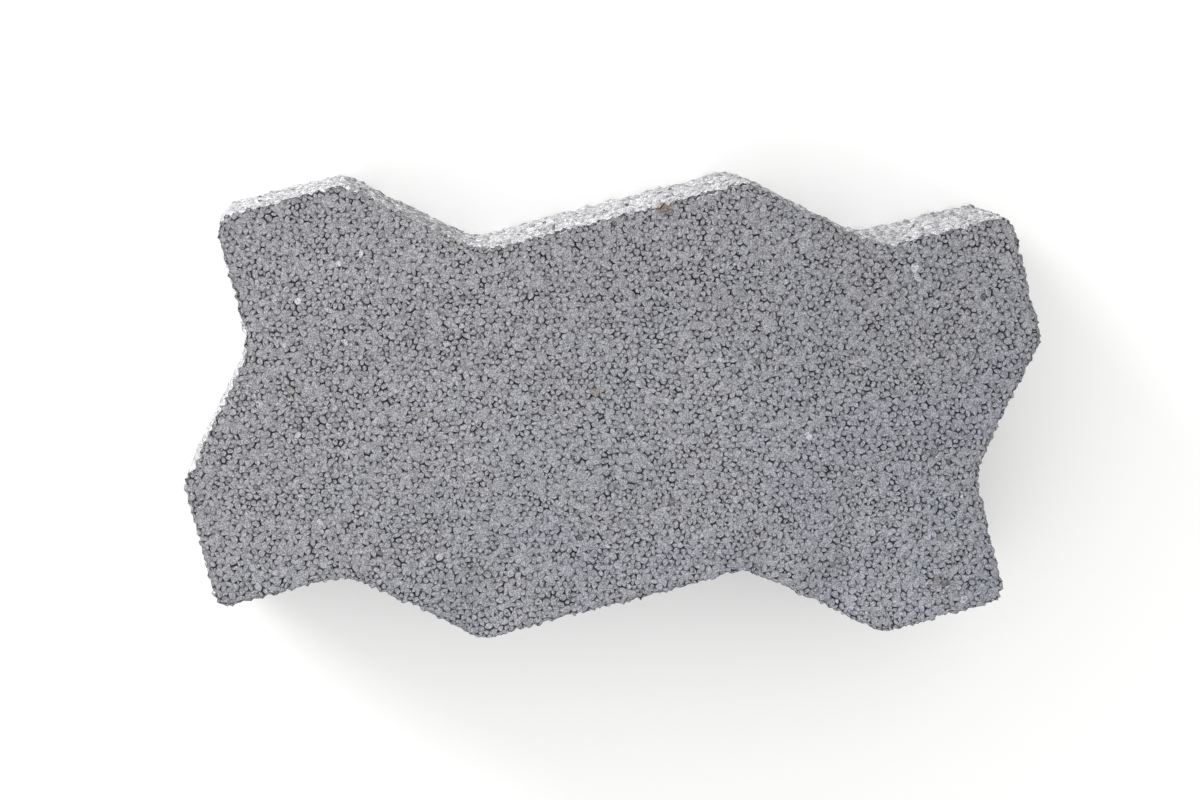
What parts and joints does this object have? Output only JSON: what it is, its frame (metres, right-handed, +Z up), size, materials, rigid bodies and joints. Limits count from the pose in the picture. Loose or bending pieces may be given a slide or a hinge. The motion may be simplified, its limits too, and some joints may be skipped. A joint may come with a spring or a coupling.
{
  "type": "interlocking paving stone",
  "caption": "Flat zig-zag concrete paving stone whose wavy sides lock into its neighbours on every side of a paved surface.",
  "frame": {"origin": "centre of the bed face, on the ground the stone lies on", "axes": "+X along the stone's length, +Y across its width, +Z up out of the wear face"},
  "size_m": [0.2402, 0.1278, 0.06],
  "materials": {
    "concrete": "rough open-textured cast concrete"
  },
  "bodies": {
    "root": {"paving_stone": "concrete"}
  },
  "joints": []
}
